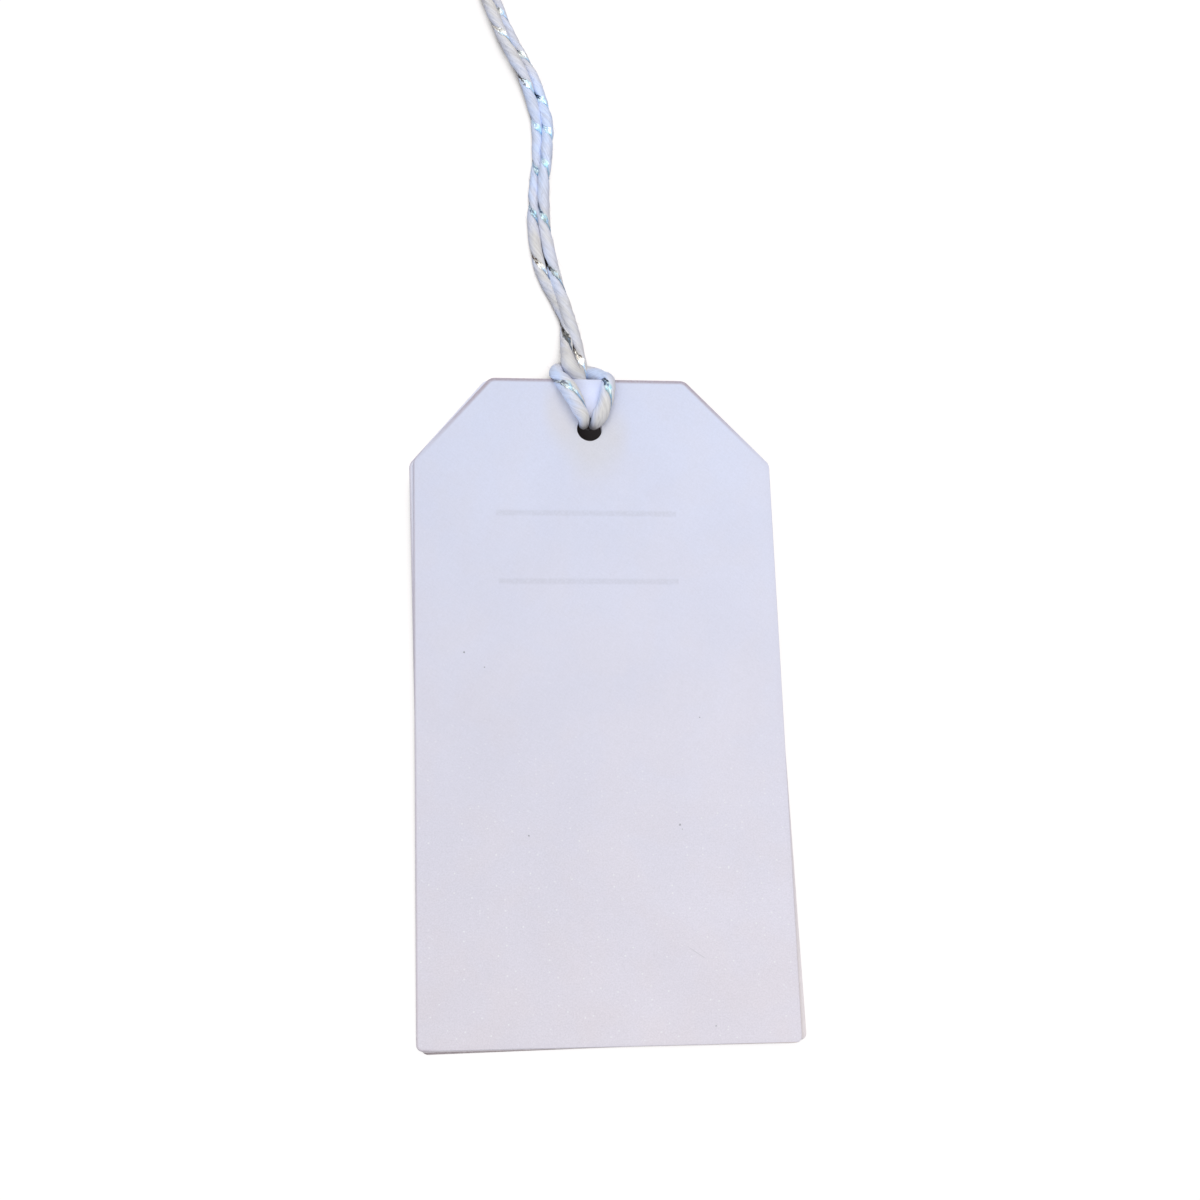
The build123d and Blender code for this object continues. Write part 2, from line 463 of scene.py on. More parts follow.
class Cord:
    """The cord's line with its radius, a frame carried along it and the tinsel's angle round it."""

    def __init__(self, points):
        raw = read_spline([point[:3] for point in points])
        raw_radius = read_spline([(point[3], 0, 0) for point in points])[:, 0]
        raw_along = np.concatenate([[0], np.cumsum(np.linalg.norm(np.diff(raw, axis=0), axis=1))])
        self.length = raw_along[-1]
        self.along = np.linspace(0, self.length, round(self.length / RING_STEP) + 1)
        self.line = np.stack([np.interp(self.along, raw_along, raw[:, k]) for k in range(3)], axis=1)
        self.radius = np.interp(self.along, raw_along, raw_radius)
        # How far along the spline comes nearest to each of its control points
        steps = (len(raw) - 1) / (len(points) - SPLINE_DEGREE)
        nearest = (np.arange(len(points)) - (SPLINE_DEGREE - 1) / 2) * steps
        nearest = np.clip(nearest, 0, len(raw) - 1)
        self.controls = np.interp(nearest, np.arange(len(raw)), raw_along)
        self.carry_frame()

    def carry_frame(self):
        """Two directions across the cord, carried along it without turning about it."""
        heading = unit(np.gradient(self.line, axis=0))
        across = np.zeros_like(heading)
        across[0] = unit(np.cross(heading[0], (0, 0, 1)))
        for i in range(1, len(heading)):
            level = across[i - 1] - heading[i] * (across[i - 1] @ heading[i])
            across[i] = level / np.linalg.norm(level)
        self.heading = heading
        self.across = across
        self.up = np.cross(heading, across)

    def place(self, where):
        """How far along the cord its line comes nearest to a point."""
        return self.along[np.argmin(np.linalg.norm(self.line - where, axis=1))]

    def rows(self, values, s):
        """Values kept at each point of the line, at distances s along it."""
        if values.ndim == 1:
            return np.interp(s, self.along, values)
        return np.stack([np.interp(s, self.along, column) for column in values.T], axis=-1)

    def outward(self, s, angle):
        """The direction out of the cord at an angle round it."""
        across = self.rows(self.across, s)
        up = self.rows(self.up, s)
        return across * np.cos(angle)[..., None] + up * np.sin(angle)[..., None]

    def point(self, s, angle, reach):
        """A point at some reach from the cord's line."""
        return self.rows(self.line, s) + self.outward(s, angle) * reach[..., None]

    def lay_tinsel(self, tops):
        """Winds the tinsel so that it crosses the top of the cord at the given places."""
        stations = [self.place(top[0]) for top in tops]
        looks = zip(*(top[2:] for top in tops))
        # The painted glint along the tinsel: how cream, how bright, and how dark to the left
        self.gleam = np.stack([np.interp(self.along, stations, look) for look in looks], axis=1)
        angles = []
        for s, top in zip(stations, tops):
            above = math.atan2(self.rows(self.up, s)[2], self.rows(self.across, s)[2])
            if angles:
                expected = angles[-1] - math.tau * top[1]
                above += math.tau * round((expected - above) / math.tau)
            angles.append(above)
        rate = math.tau / TINSEL_PITCH
        stations = [0.0] + stations + [self.length]
        before = angles[0] + rate * stations[1]
        after = angles[-1] - rate * (stations[-1] - stations[-2])
        angles = [before] + angles + [after]
        self.tinsel_angle = np.interp(self.along, stations, angles)
        window = 2 * TINSEL_SMOOTHING + 1
        padded = np.pad(self.tinsel_angle, TINSEL_SMOOTHING, mode="reflect", reflect_type="odd")
        self.tinsel_angle = np.convolve(padded, np.ones(window) / window, mode="valid")
        self.tinsel_rate = np.gradient(self.tinsel_angle, self.along)

    def lay_tint(self, places):
        """How much painted blue light the yarn has along the cord, from 0 to 1."""
        bumps = []
        for spot, far, strength in places:
            bumps.append(strength * np.exp(-(((self.along - self.place(spot)) / far) ** 2)))
        self.tint = np.max(bumps, axis=0)

    def lay_flank(self, start, stop):
        """How much painted blue light falls on the yarn's left flank along the cord, more so between
        two places.
        """
        inside = np.minimum(self.along - self.place(start), self.place(stop) - self.along)
        share = np.clip(inside / FLANK_FADE, 0, 1)
        self.flank = FLANK_BLUE + (HITCH_FLANK_BLUE - FLANK_BLUE) * share

    def reach(self, s, angle):
        """The yarn's surface: twisted bundles of fibre, soft bulges and the groove under the tinsel."""
        radius = self.rows(self.radius, s)
        fibre = angle + math.tau * s / FIBRE_PITCH
        bundles = np.abs(np.cos(BUNDLES * fibre / 2)) ** BUNDLE_ROUNDNESS - BUNDLE_LEVEL
        uneven = UNEVEN_MEAN + UNEVEN_SWING * np.sin(UNEVEN_RATE * s + UNEVEN_WANDER * np.cos(fibre))
        wander = BULGE_WANDER * np.sin(BULGE_WANDER_RATE * s)
        bulges = np.sin(BULGE_RATE * s + wander) * np.cos(angle + BULGE_TURN * s)
        lead = np.arctan(radius * np.abs(self.rows(self.tinsel_rate, s)))
        turn = angle - self.rows(self.tinsel_angle, s)
        aside = (turn + math.pi) % math.tau - math.pi
        away = aside * radius * np.cos(lead) / GROOVE_WIDTH
        groove = GROOVE_DEPTH * np.exp(-away**2) * radius / (CORD_DIAMETER / 2)
        return radius + bundles * BUNDLE_RELIEF * uneven + bulges * BULGE * radius - groove


def knot_route(side):
    """One strand's way from the knot's entry through it to the end of its tail."""
    local = [(a, side * b, c, r) for a, b, c, r in KNOT_ENTRY]
    shift = side * KNOT_WRAP_GAP / 2
    for i in range(KNOT_WRAP_POINTS + 1):
        share = i / KNOT_WRAP_POINTS
        angle = math.pi / 2 + math.tau * share
        a = KNOT_WRAP_PITCH * (0.5 - share) + shift
        b, c = KNOT_WRAP_RADIUS * math.cos(angle), KNOT_WRAP_RADIUS * math.sin(angle)
        local.append((a, b, c, KNOT_YARN_RADIUS))
    local += [(a, side * b, c, r) for a, b, c, r in KNOT_EXIT + TAIL]
    low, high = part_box("end_knot")
    middle = np.array((low + high) / 2) / MM
    turn = math.radians(KNOT_HEADING_DEG)
    heading = np.array((-math.sin(turn), math.cos(turn), 0))
    right = np.array((math.cos(turn), math.sin(turn), 0))
    route = []
    for a, b, c, r in local:
        place = middle + heading * a + right * b
        route.append((place[0], place[1], place[2] + c, r))
    return route


def link(name, data):
    """A new object in the scene with this mesh, camera or lamp."""
    piece = bpy.data.objects.new(name, data)
    bpy.context.scene.collection.objects.link(piece)
    return piece


def make_mesh(name, vertices, faces, smooth=True):
    """A mesh from points in millimetres, with its faces turned outward and the ends of tubes flat."""
    mesh = bpy.data.meshes.new(name)
    mesh.from_pydata([tuple(vertex) for vertex in np.asarray(vertices) * MM], [], faces)
    shape = bmesh.new()
    shape.from_mesh(mesh)
    bmesh.ops.recalc_face_normals(shape, faces=shape.faces)
    shape.to_mesh(mesh)
    shape.free()
    mesh.polygons.foreach_set("use_smooth", [smooth and len(face) > 3 for face in faces])
    return mesh


def keep_vectors(mesh, name, vectors):
    """Keeps a vector at each point of a mesh for its material."""
    attribute = mesh.attributes.new(name, "FLOAT_VECTOR", "POINT")
    attribute.data.foreach_set("vector", np.asarray(vectors, np.float32).ravel())


def ring_faces(rings, sides, first):
    """Faces of a closed tube of rings, with a point at the middle of each end after the rings."""
    faces = []
    for ring in range(rings - 1):
        for side in range(sides):
            after = (side + 1) % sides
            a, b = first + ring * sides, first + (ring + 1) * sides
            faces.append((a + side, a + after, b + after, b + side))
    start, end = first + rings * sides, first + rings * sides + 1
    last = first + (rings - 1) * sides
    for side in range(sides):
        after = (side + 1) % sides
        faces.append((start, first + after, first + side))
        faces.append((end, last + side, last + after))
    return faces


def yarn(name, cord, stretches):
    """Twisted yarn along one or more stretches of the cord, closed at its ends."""
    vertices, faces, fibres, blues = [], [], [], []
    angles = np.linspace(0, math.tau, RING_SIDES, endpoint=False)
    for start, stop in stretches:
        stations = np.linspace(start, stop, round((stop - start) / RING_STEP) + 1)
        s, angle = np.meshgrid(stations, angles, indexing="ij")
        reach = cord.reach(s, angle)
        first = len(vertices)
        vertices.extend(cord.point(s, angle, reach).reshape(-1, 3))
        ends = stations[[0, -1]]
        dome = cord.rows(cord.heading, ends) * [[-END_DOME], [END_DOME]]
        vertices.extend(cord.rows(cord.line, ends) + dome)
        untwisted = angle + math.tau * s / FIBRE_PITCH
        rows = np.stack([reach * np.cos(untwisted), reach * np.sin(untwisted), s], axis=-1)
        fibres.extend(rows.reshape(-1, 3))
        fibres.extend([(0, 0, end) for end in ends])
        # Painted blue light: along the cord, and on the left flank that faces the bluish fill
        flank = np.maximum(-cord.outward(s, angle)[..., 0], 0) ** FLANK_FALL
        blue = cord.rows(cord.tint, s) + cord.rows(cord.flank, s) * flank
        blues.extend(np.minimum(blue, 1).ravel())
        blues.extend(cord.rows(cord.tint, ends))
        faces.extend(ring_faces(len(stations), RING_SIDES, first))
    mesh = make_mesh(name, vertices, faces)
    keep_vectors(mesh, "fibre", fibres)
    # Painted shade on the yarn round the hole, where it dips into the hole's shadow
    away = np.linalg.norm(np.array(vertices) - HOLE_SHADE_MIDDLE, axis=1)
    hole_shade = np.exp(-((away / HOLE_SHADE_REACH) ** 2))
    keep_vectors(mesh, "tint", np.stack([blues, hole_shade, np.zeros(len(hole_shade))], axis=1))
    return link(name, mesh)


def hairs(name, starts, ways, bends, tints):
    """Fine curved fibres, each from its start along its way, bent aside towards its tip."""
    share = np.linspace(0, 1, FUZZ_POINTS)[:, None]
    corners = np.linspace(0, math.tau, FUZZ_SIDES, endpoint=False)
    vertices, faces, rows = [], [], []
    for start, way, bent, tint in zip(starts, ways, bends, tints):
        line = start + way * share + bent * share**2
        line[:, 2] = np.maximum(line[:, 2], 2 * FUZZ_RADIUS)
        across = unit(np.cross(way, ODD_WAY))
        other = unit(np.cross(way, across))
        first = len(vertices)
        for point, thin in zip(line, 1 - FUZZ_TAPER * share[:, 0]):
            for corner in corners:
                out = across * math.cos(corner) + other * math.sin(corner)
                vertices.append(point + out * FUZZ_RADIUS * thin)
        vertices.extend(line[[0, -1]])
        faces.extend(ring_faces(FUZZ_POINTS, FUZZ_SIDES, first))
        rows.extend([(tint, 0, 0)] * (FUZZ_SIDES * FUZZ_POINTS + 2))
    mesh = make_mesh(name, vertices, faces)
    keep_vectors(mesh, "tint", rows)
    keep_vectors(mesh, "fibre", vertices)
    return link(name, mesh)


def frayed_tip(cord, end, sign, chance):
    """Starts, ways, bends and tints of the fibres at one cut end of the cord."""
    ends = np.full(FRAYED_ENDS, end)
    radius = cord.rows(cord.radius, ends)
    angle = chance.uniform(0, math.tau, FRAYED_ENDS)
    inside = np.sqrt(chance.uniform(0, 1, FRAYED_ENDS)) * FRAY_INSIDE * radius
    out = cord.outward(ends, angle)
    spread = chance.uniform(*FRAY_SPREAD, (FRAYED_ENDS, 1))
    reach = chance.uniform(*FRAY_REACH, (FRAYED_ENDS, 1))
    away = cord.rows(cord.heading, ends) * sign
    rise = END_DOME * (1 - inside / radius) - FUZZ_RADIUS
    starts = cord.point(ends, angle, inside) + away * rise[:, None]
    ways = unit(away + out * spread) * reach
    bends = out * chance.normal(*FRAY_CURL, (FRAYED_ENDS, 1)) * reach
    return starts, ways, bends, cord.rows(cord.tint, ends)


def fuzz(name, cord, stretches, seed):
    """Stray fibres that stand out of the yarn, and the frayed tips of a cut end."""
    chance = np.random.default_rng(seed)
    starts, ways, bends, tints = [], [], [], []
    for start, stop in stretches:
        count = round((stop - start) * FUZZ_PER_MM)
        s = chance.uniform(start, stop, count)
        angle = chance.uniform(0, math.tau, count)
        reach = chance.uniform(*FUZZ_REACH, (count, 1))
        out = cord.outward(s, angle)
        heading = cord.rows(cord.heading, s) * chance.choice((-1, 1), (count, 1))
        side = np.cross(out, heading)
        lift = out * chance.uniform(*FUZZ_LIFT, (count, 1))
        way = unit(heading + lift + side * chance.normal(0, FUZZ_SWAY, (count, 1)))
        starts.extend(cord.point(s, angle, cord.reach(s, angle) - FUZZ_RADIUS))
        ways.extend(way * reach)
        bends.extend((side * chance.normal(0, FUZZ_CURL, (count, 1)) - out * FUZZ_DROOP) * reach)
        # Each stray fibre takes the yarn's painted blue light where it starts
        tints.extend(cord.rows(cord.tint, s))
        for end, sign in ((0.0, -1), (cord.length, 1)):
            if end in (start, stop):
                tip = frayed_tip(cord, end, sign, chance)
                for kept, more in zip((starts, ways, bends, tints), tip):
                    kept.extend(more)
    return hairs(name, starts, ways, bends, tints)


def tinsel(name, cord, stretches, seed):
    """The crinkled metallic strip that is wound round the yarn, as thin flat facets."""
    chance = np.random.default_rng(seed)
    across = np.linspace(-0.5, 0.5, TINSEL_POINTS) * TINSEL_WIDTH
    vertices, faces, strip, gleam = [], [], [], []
    for start, stop in stretches:
        stations = np.linspace(start, stop, round((stop - start) / TINSEL_STEP) + 1)
        s, aside = np.meshgrid(stations, across, indexing="ij")
        radius = cord.rows(cord.radius, s)
        lead = np.arctan(radius * cord.rows(cord.tinsel_rate, s))
        ragged = chance.uniform(*TINSEL_RAGGED, (len(stations), 1))
        facing = cord.outward(s, cord.rows(cord.tinsel_angle, s))
        widest, thinnest, spread = TINSEL_PATCH
        patch = thinnest + (1 - thinnest) * np.exp(-(((facing[..., 0] - widest) / spread) ** 2))
        narrow = np.minimum(radius / (CORD_DIAMETER / 2), 1) * ragged * patch
        place = np.clip(s - aside * narrow * np.sin(lead), 0, cord.length)
        angle = cord.rows(cord.tinsel_angle, s) + aside * narrow * np.cos(lead) / radius
        lift = TINSEL_LIFT + np.abs(chance.normal(0, TINSEL_CRINKLE, s.shape))
        outer = cord.reach(place, angle) + lift
        first = len(vertices)
        count = len(stations)
        for reach in (outer, outer - TINSEL_THICKNESS):
            vertices.extend(cord.point(place, angle, reach).reshape(-1, 3))
            strip.extend(np.stack([s, aside, facing[..., 0]], axis=-1).reshape(-1, 3))
            gleam.extend(cord.rows(cord.gleam, s).reshape(-1, 3))
        wide = TINSEL_POINTS
        under = count * wide
        for i in range(count - 1):
            for j in range(wide - 1):
                a = first + i * wide + j
                faces.append((a, a + 1, a + wide + 1, a + wide))
                faces.append((a + under, a + under + wide, a + under + wide + 1, a + under + 1))
            for j in (0, wide - 1):
                a = first + i * wide + j
                faces.append((a, a + wide, a + wide + under, a + under))
        for i in (0, count - 1):
            for j in range(wide - 1):
                a = first + i * wide + j
                faces.append((a, a + under, a + under + 1, a + 1))
    mesh = make_mesh(name, vertices, faces, smooth=False)
    keep_vectors(mesh, "strip", strip)
    keep_vectors(mesh, "gleam", gleam)
    return link(name, mesh)


def build_cord():
    """The whole cord, from its left tail through the knot and the hitch to its right tail."""
    left = LEFT_STRAND[::-1] + knot_route(-1)
    right = RIGHT_STRAND[::-1] + knot_route(1)
    cord = Cord(left[::-1] + HITCH + right)
    cord.lay_tinsel(TINSEL_TOPS)
    cord.lay_tint(BLUE_PLACES)
    cord.lay_flank(HITCH[0][:3], HITCH[-1][:3])
    return cord


def add_camera():
    """The photograph's camera."""
    data = bpy.data.cameras.new("camera")
    data.lens = CAMERA_LENS
    data.sensor_width = CAMERA_SENSOR
    data.clip_start = CAMERA_NEAR_M
    camera = link("camera", data)
    camera.location = metres(*CAMERA_PLACE)
    camera.rotation_euler = [math.radians(angle) for angle in CAMERA_TURN_DEG]
    bpy.context.scene.camera = camera


class Shader:
    """The nodes of a material, or of the world, with short ways to add and join them."""

    def __init__(self, name, holders=bpy.data.materials, surface="Principled BSDF"):
        self.material = holders.new(name)
        self.material.use_nodes = True
        self.tree = self.material.node_tree
        self.surface = self.tree.nodes[surface]

    def feed(self, node, socket, value):
        """Links a socket, or sets its own value."""
        if isinstance(value, bpy.types.NodeSocket):
            self.tree.links.new(value, node.inputs[socket])
        else:
            node.inputs[socket].default_value = value

    def add(self, kind, sockets=(), **settings):
        node = self.tree.nodes.new("ShaderNode" + kind)
        for name, value in settings.items():
            setattr(node, name, value)
        for socket, value in dict(sockets).items():
            self.feed(node, socket, value)
        return node

    def set(self, **sockets):
        """Feeds the surface: an underscore stands for a space in a socket's name."""
        for name, value in sockets.items():
            self.feed(self.surface, name.replace("_", " "), value)

    def math(self, operation, first, second=0.0, third=0.0):
        node = self.add("Math", {0: first, 1: second, 2: third}, operation=operation)
        return node.outputs[0]

    def times(self, first, second):
        return self.math("MULTIPLY", first, second)

    def axes(self, vector):
        return self.add("SeparateXYZ", {0: vector}).outputs

    def vector(self, operation, first, second, output="Vector"):
        return self.add("VectorMath", {0: first, 1: second}, operation=operation).outputs[output]

    def span(self, value, low, high, to_low=0.0, to_high=1.0, kind="SMOOTHSTEP"):
        """A value carried from one range to another, held at its ends."""
        sockets = {"Value": value, "From Min": low, "From Max": high}
        sockets.update({"To Min": to_low, "To Max": to_high})
        return self.add("MapRange", sockets, interpolation_type=kind).outputs[0]

    def noise(self, vector, scale, detail=2.0, roughness=0.5):
        sockets = {"Vector": vector, "Scale": scale, "Detail": detail, "Roughness": roughness}
        return self.add("TexNoise", sockets).outputs["Fac"]

    def stretched(self, vector, sizes, turn_deg=0.0):
        """Coordinates in which one unit is the given size, along axes turned about Z."""
        sockets = {"Vector": vector, "Scale": sizes, "Rotation": (0, 0, math.radians(turn_deg))}
        return self.add("Mapping", sockets, vector_type="TEXTURE").outputs[0]

    def ramp(self, value, stops):
        node = self.add("ValToRGB", {"Fac": value})
        elements = node.color_ramp.elements
        while len(elements) < len(stops):
            elements.new(0.5)
        for element, (place, colour) in zip(elements, stops):
            element.position = place
            element.color = (*colour, 1.0)
        return node.outputs["Color"]

    def mix(self, factor, first, second, blend="MIX"):
        """Two colours mixed, through the sockets that the node has for colours."""
        node = self.add("Mix", data_type="RGBA", blend_type=blend)
        for socket, value in zip((0, 6, 7), (factor, first, second)):
            if isinstance(value, tuple):
                value = (*value, 1.0)
            self.feed(node, socket, value)
        return node.outputs[2]

    def dim(self, colour, value):
        """A colour times a value."""
        grey = self.add("CombineColor", {"Red": value, "Green": value, "Blue": value}).outputs[0]
        return self.mix(1.0, colour, grey, blend="MULTIPLY")

    def shade(self, colour, value, amount):
        """A colour made lighter and darker by a value that runs from 0 to 1."""
        return self.dim(colour, self.span(value, *SHADE_FROM, 1 - amount, 1 + amount, kind="LINEAR"))

    def millimetres(self):
        """The part's own coordinates in millimetres."""
        coordinates = self.add("TexCoord").outputs["Object"]
        return self.add("VectorMath", {0: coordinates, "Scale": 1 / MM}, operation="SCALE").outputs[0]

    def seen(self):
        """One where the camera sees a surface, also in metal or through glass, and else nothing."""
        path = self.add("LightPath").outputs
        mirrored = self.math("MAXIMUM", path["Is Glossy Ray"], path["Is Transmission Ray"])
        return self.math("MAXIMUM", path["Is Camera Ray"], mirrored)

    def attribute(self, name, output="Vector"):
        return self.add("Attribute", attribute_name=name).outputs[output]

    def bump(self, height, distance, strength):
        sockets = {"Height": height, "Distance": distance * MM, "Strength": strength}
        return self.add("Bump", sockets).outputs[0]


def paper_grain(shader, place):
    """Fine grain and fibre of uncoated card, as two values from 0 to 1."""
    grain = shader.noise(place, *GRAIN_NOISE)
    lays = [shader.noise(shader.stretched(place, *lay), *FIBRE_NOISE) for lay in FIBRE_LAYS]
    return grain, shader.times(shader.math("ADD", *lays), 0.5)


def paper_surface(shader, colour, grain, fibres, edge_shade_and_wear):
    """Painted shade along the rim, with wear on the backing, painted shade and light on the foot's cut
    edge, relief and a soft finish that both sheets share.
    """
    rim = shader.attribute("rim", "Fac")
    patchy = shader.span(grain, *NOISE_MIDDLE, *EDGE_PATCHES)
    axes = shader.axes(shader.millimetres())
    # Painted shade along the rim: broad at the top, a thin line up the left side; on the backing it is
    # wear
    broad = shader.times(shader.span(rim, *RIM_SHADE_AND_WEAR_BAND), edge_shade_and_wear)
    left = shader.span(axes[0], *LEFT_SIDE, LEFT_SHADE_LINE, 0.0)
    narrow = shader.times(shader.span(rim, *LINE_BAND), left)
    rim_shade_and_wear = shader.times(shader.math("MAXIMUM", broad, narrow), patchy)
    colour = shader.mix(rim_shade_and_wear, colour, RIM_TONE)
    # Painted shade and light on the foot's cut edge, dark at the left and lit tan at the right
    foot = shader.times(shader.span(axes[1], *FOOT_EDGE, 1.0, 0.0), patchy)
    across = shader.span(axes[0], -HALF_WIDTH, HALF_WIDTH, kind="LINEAR")
    colour = shader.mix(foot, colour, shader.ramp(across, FOOT_TONES))
    height = shader.math("ADD", grain, shader.times(fibres, FIBRE_RELIEF))
    shader.set(Base_Color=colour, Roughness=shader.span(grain, *NOISE_MIDDLE, *PAPER_ROUGHNESS))
    shader.set(Normal=shader.bump(height, *PAPER_RELIEF), Specular_IOR_Level=PAPER_SPECULAR)
    return shader.material


def box_mask(shader, value, low, high, soft):
    """One where a value lies between two limits, with soft ends."""
    above = shader.span(value, low - soft, low + soft)
    below = shader.span(value, high - soft, high + soft, 1.0, 0.0)
    return shader.times(above, below)


def scratch(shader, colour, place):
    """A faint short scratch near the foot of the card."""
    offset = shader.vector("SUBTRACT", place, (*SCRATCH_MIDDLE, 0.0))
    turn = math.radians(SCRATCH_TURN_DEG)
    ways = ((math.cos(turn), math.sin(turn), 0), (-math.sin(turn), math.cos(turn), 0))
    masks = []
    for way, half in zip(ways, SCRATCH_HALF):
        away = shader.math("ABSOLUTE", shader.vector("DOT_PRODUCT", offset, way, "Value"))
        near, far = (half * share for share in SCRATCH_FADE)
        masks.append(shader.span(away, near, far, 1.0, 0.0))
    return shader.mix(shader.times(shader.times(*masks), SCRATCH_STRENGTH), colour, SCRATCH_TONE)


def warm_cast_and_pale_light(shader, colour, flat):
    """Painted warm cast of light round the hole, and painted pale light on the paper between the cord's
    legs.
    """
    for middle, half, tint in WARM_CAST_AND_PALE_LIGHT:
        offset = shader.vector("SUBTRACT", flat, (*middle, 0.0))
        scaled = shader.vector("DIVIDE", offset, (*half, 1.0))
        away = shader.vector("LENGTH", scaled, (0, 0, 0), "Value")
        colour = shader.mix(shader.span(away, *WARM_CAST_AND_PALE_LIGHT_FADE, 1.0, 0.0), colour, tint, blend="MULTIPLY")
    return colour


def ruled_lines(shader, colour, axes, place):
    """The two faint printed lines, a little uneven in their ink."""
    ink = shader.span(shader.noise(place, *INK_NOISE), *INK_PATCHES)
    half = RULE_THICKNESS / 2
    for left, right, level in RULES:
        along = box_mask(shader, axes[0], left, right, RULE_END_SOFTNESS)
        across = box_mask(shader, axes[1], level - half, level + half, RULE_SOFTNESS)
        mark = shader.times(shader.times(along, across), ink)
        colour = shader.mix(shader.times(mark, RULE_STRENGTH), colour, RULE_TONE)
    return colour


def specks(shader, colour, flat, place):
    """Small dark bits in the paper."""
    ragged = shader.times(shader.noise(place, *SPECK_NOISE), SPECK_RAGGED)
    for x, y, size in SPECKS:
        away = shader.math("ADD", shader.vector("DISTANCE", flat, (x, y, 0.0), "Value"), ragged)
        near, far = (size * share for share in SPECK_FADE)
        colour = shader.mix(shader.span(away, near, far, SPECK_STRENGTH, 0.0), colour, SPECK_TONE)
    return colour


def foot_grain(shader, colour, flat, height):
    """Coarser grain, and pale grains painted as glints that catch the light, low on the card."""
    low = shader.span(height, *GRAIN_FROM_FOOT, 1.0, 0.0)
    rough = shader.shade(colour, shader.noise(flat, *FOOT_NOISE), FOOT_GRAIN)
    colour = shader.mix(low, colour, rough)
    sockets = {"Vector": shader.stretched(flat, (PALE_CELL,) * 3), "Scale": 1.0}
    cells = shader.add("TexVoronoi", sockets, voronoi_dimensions="2D")
    chance = shader.add("SeparateColor", {0: cells.outputs["Color"]}).outputs[0]
    far = shader.times(cells.outputs["Distance"], PALE_CELL)
    core = shader.span(far, *PALE_CORE, 1.0, 0.0)
    picked = shader.span(chance, 1 - PALE_SHARE, 1.0, 0.0, PALE_STRENGTH)
    pale = shader.times(shader.times(core, picked), low)
    return shader.mix(pale, colour, PALE_TONE)


def front_paper():
    """White card with painted light, cooler at its top, warmer at its foot and lighter to the right,
    with flecks, a painted warm cast and pale light round the cord, ruled lines, specks and a scratch.
    """
    shader = Shader("front_paper")
    place = shader.millimetres()
    axes = shader.axes(place)
    flat = shader.add("CombineXYZ", {0: axes[0], 1: axes[1]}).outputs[0]
    height = shader.span(axes[1], -HALF_LENGTH, HALF_LENGTH, kind="LINEAR")
    # The ramp paints light into the card: bluer at the top, warmer at the foot
    colour = shader.ramp(height, FRONT_TONES)
    grain, fibres = paper_grain(shader, place)
    colour = shader.shade(colour, shader.noise(place, *CLOUD_NOISE), CLOUD_SHADE)
    colour = shader.shade(colour, grain, GRAIN_SHADE)
    colour = shader.shade(colour, fibres, FIBRE_SHADE)
    # Painted light, lighter towards the card's right side
    across = shader.span(axes[0], -HALF_WIDTH, HALF_WIDTH, *SHADE_FROM, kind="LINEAR")
    colour = shader.shade(colour, across, SIDE_SHADE)
    warm = shader.span(shader.noise(place, *WARM_NOISE), *WARM_PATCHES)
    colour = shader.mix(warm, colour, WARM_TINT, blend="MULTIPLY")
    streaks = shader.noise(shader.stretched(place, *FLECK_LAY), *FLECK_NOISE)
    fewer = shader.span(height, *FLECK_SHARE)
    flecks = shader.times(shader.span(streaks, *FLECK_EDGE), fewer)
    colour = shader.mix(flecks, colour, FLECK_TONE)
    colour = foot_grain(shader, colour, flat, height)
    # Painted warm cast of light round the hole, and painted pale light between the cord's legs
    colour = warm_cast_and_pale_light(shader, colour, flat)
    colour = scratch(shader, colour, flat)
    colour = ruled_lines(shader, colour, axes, place)
    colour = specks(shader, colour, flat, place)
    # Painted shade along the top edge and shoulders, left bare where the cord covers the edge
    bare = shader.span(shader.math("ABSOLUTE", axes[0]), *COVERED_EDGE)
    edge_shade_and_wear = shader.times(shader.span(axes[1], *TOP_EDGE_SHADE), bare)
    return paper_surface(shader, colour, grain, fibres, edge_shade_and_wear)


def backing_paper():
    """Off-white card with the same grain, its tones holding painted light: bluer towards the top, paler
    and warmer at the foot.
    """
    shader = Shader("backing_paper")
    place = shader.millimetres()
    grain, fibres = paper_grain(shader, place)
    height = shader.span(shader.axes(place)[1], -HALF_LENGTH, HALF_LENGTH, kind="LINEAR")
    # The ramp paints light into the backing: bluer at the top, paler and warmer at the foot
    colour = shader.ramp(height, BACKING_TONES)
    colour = shader.shade(colour, shader.noise(place, *BACKING_CLOUD_NOISE), CLOUD_SHADE)
    colour = shader.shade(colour, grain, BACKING_GRAIN_SHADE)
    colour = shader.shade(colour, fibres, FIBRE_SHADE)
    return paper_surface(shader, colour, grain, fibres, BACKING_WEAR)


def adhesive_finish():
    """Thin clear-tan film, a little blotched where it has taken up dust."""
    shader = Shader("adhesive_finish")
    blotch = shader.noise(shader.millimetres(), *FILM_NOISE)
    shader.set(Base_Color=shader.ramp(blotch, ADHESIVE_TONES))
    shader.set(Roughness=shader.span(blotch, *NOISE_MIDDLE, *FILM_ROUGHNESS))
    return shader.material


